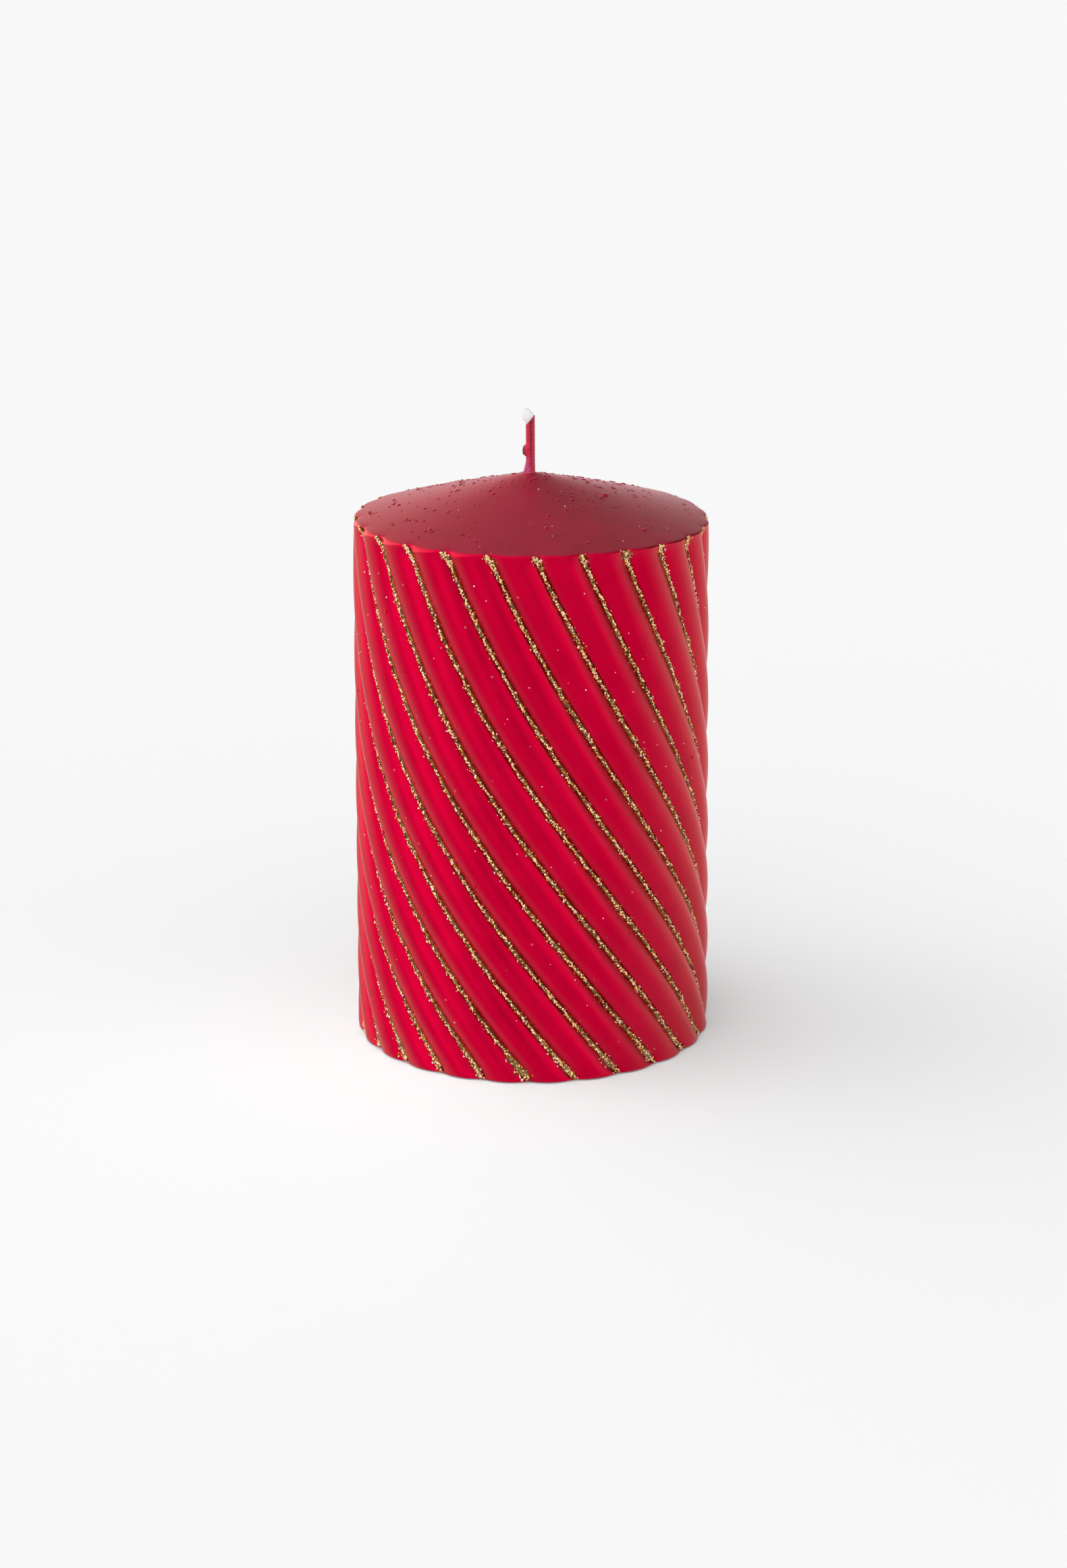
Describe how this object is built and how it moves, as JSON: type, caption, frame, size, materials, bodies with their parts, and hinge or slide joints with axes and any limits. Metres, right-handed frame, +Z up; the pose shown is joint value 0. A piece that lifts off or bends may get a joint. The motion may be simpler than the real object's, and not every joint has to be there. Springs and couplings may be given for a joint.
{
  "type": "ribbed pillar candle",
  "caption": "Free-standing pillar candle with twisted ribs: pale wax body, red lacquered coat, gold glitter lines in the grooves, low cone top and cotton wick.",
  "frame": {"origin": "middle of the foot, on the surface that the candle stands on", "axes": "+Z up along the candle's axis to the wick, -Y towards the front of the picture, +X to its right"},
  "size_m": [0.0698, 0.0698, 0.1244],
  "materials": {
    "wax": "pale cast candle wax, waxy satin, trimmed flat underneath",
    "red_lacquer": "deep red metallic candle lacquer, satin sheen, matte on the cone",
    "cotton": "bare braided cotton, frayed at the tip",
    "red_dip": "thin red wax dip, satin",
    "tin": "stamped tinned sheet, plain",
    "gold_glitter": "gold glitter flakes in clear glue"
  },
  "bodies": {
    "root": {"wax_body": "wax", "lacquer_coat": "red_lacquer", "wick": "cotton", "wick_dip_coat": "red_dip", "wick_sustainer": "tin", "glitter_line_01": "gold_glitter", "glitter_line_02": "gold_glitter", "glitter_line_03": "gold_glitter", "glitter_line_04": "gold_glitter", "glitter_line_05": "gold_glitter", "glitter_line_06": "gold_glitter", "glitter_line_07": "gold_glitter", "glitter_line_08": "gold_glitter", "glitter_line_09": "gold_glitter", "glitter_line_10": "gold_glitter", "glitter_line_11": "gold_glitter", "glitter_line_12": "gold_glitter", "glitter_line_13": "gold_glitter", "glitter_line_14": "gold_glitter", "glitter_line_15": "gold_glitter", "glitter_line_16": "gold_glitter", "glitter_line_17": "gold_glitter", "glitter_line_18": "gold_glitter", "glitter_line_19": "gold_glitter", "glitter_line_20": "gold_glitter", "glitter_line_21": "gold_glitter", "glitter_line_22": "gold_glitter", "glitter_line_23": "gold_glitter", "glitter_line_24": "gold_glitter"}
  },
  "joints": []
}
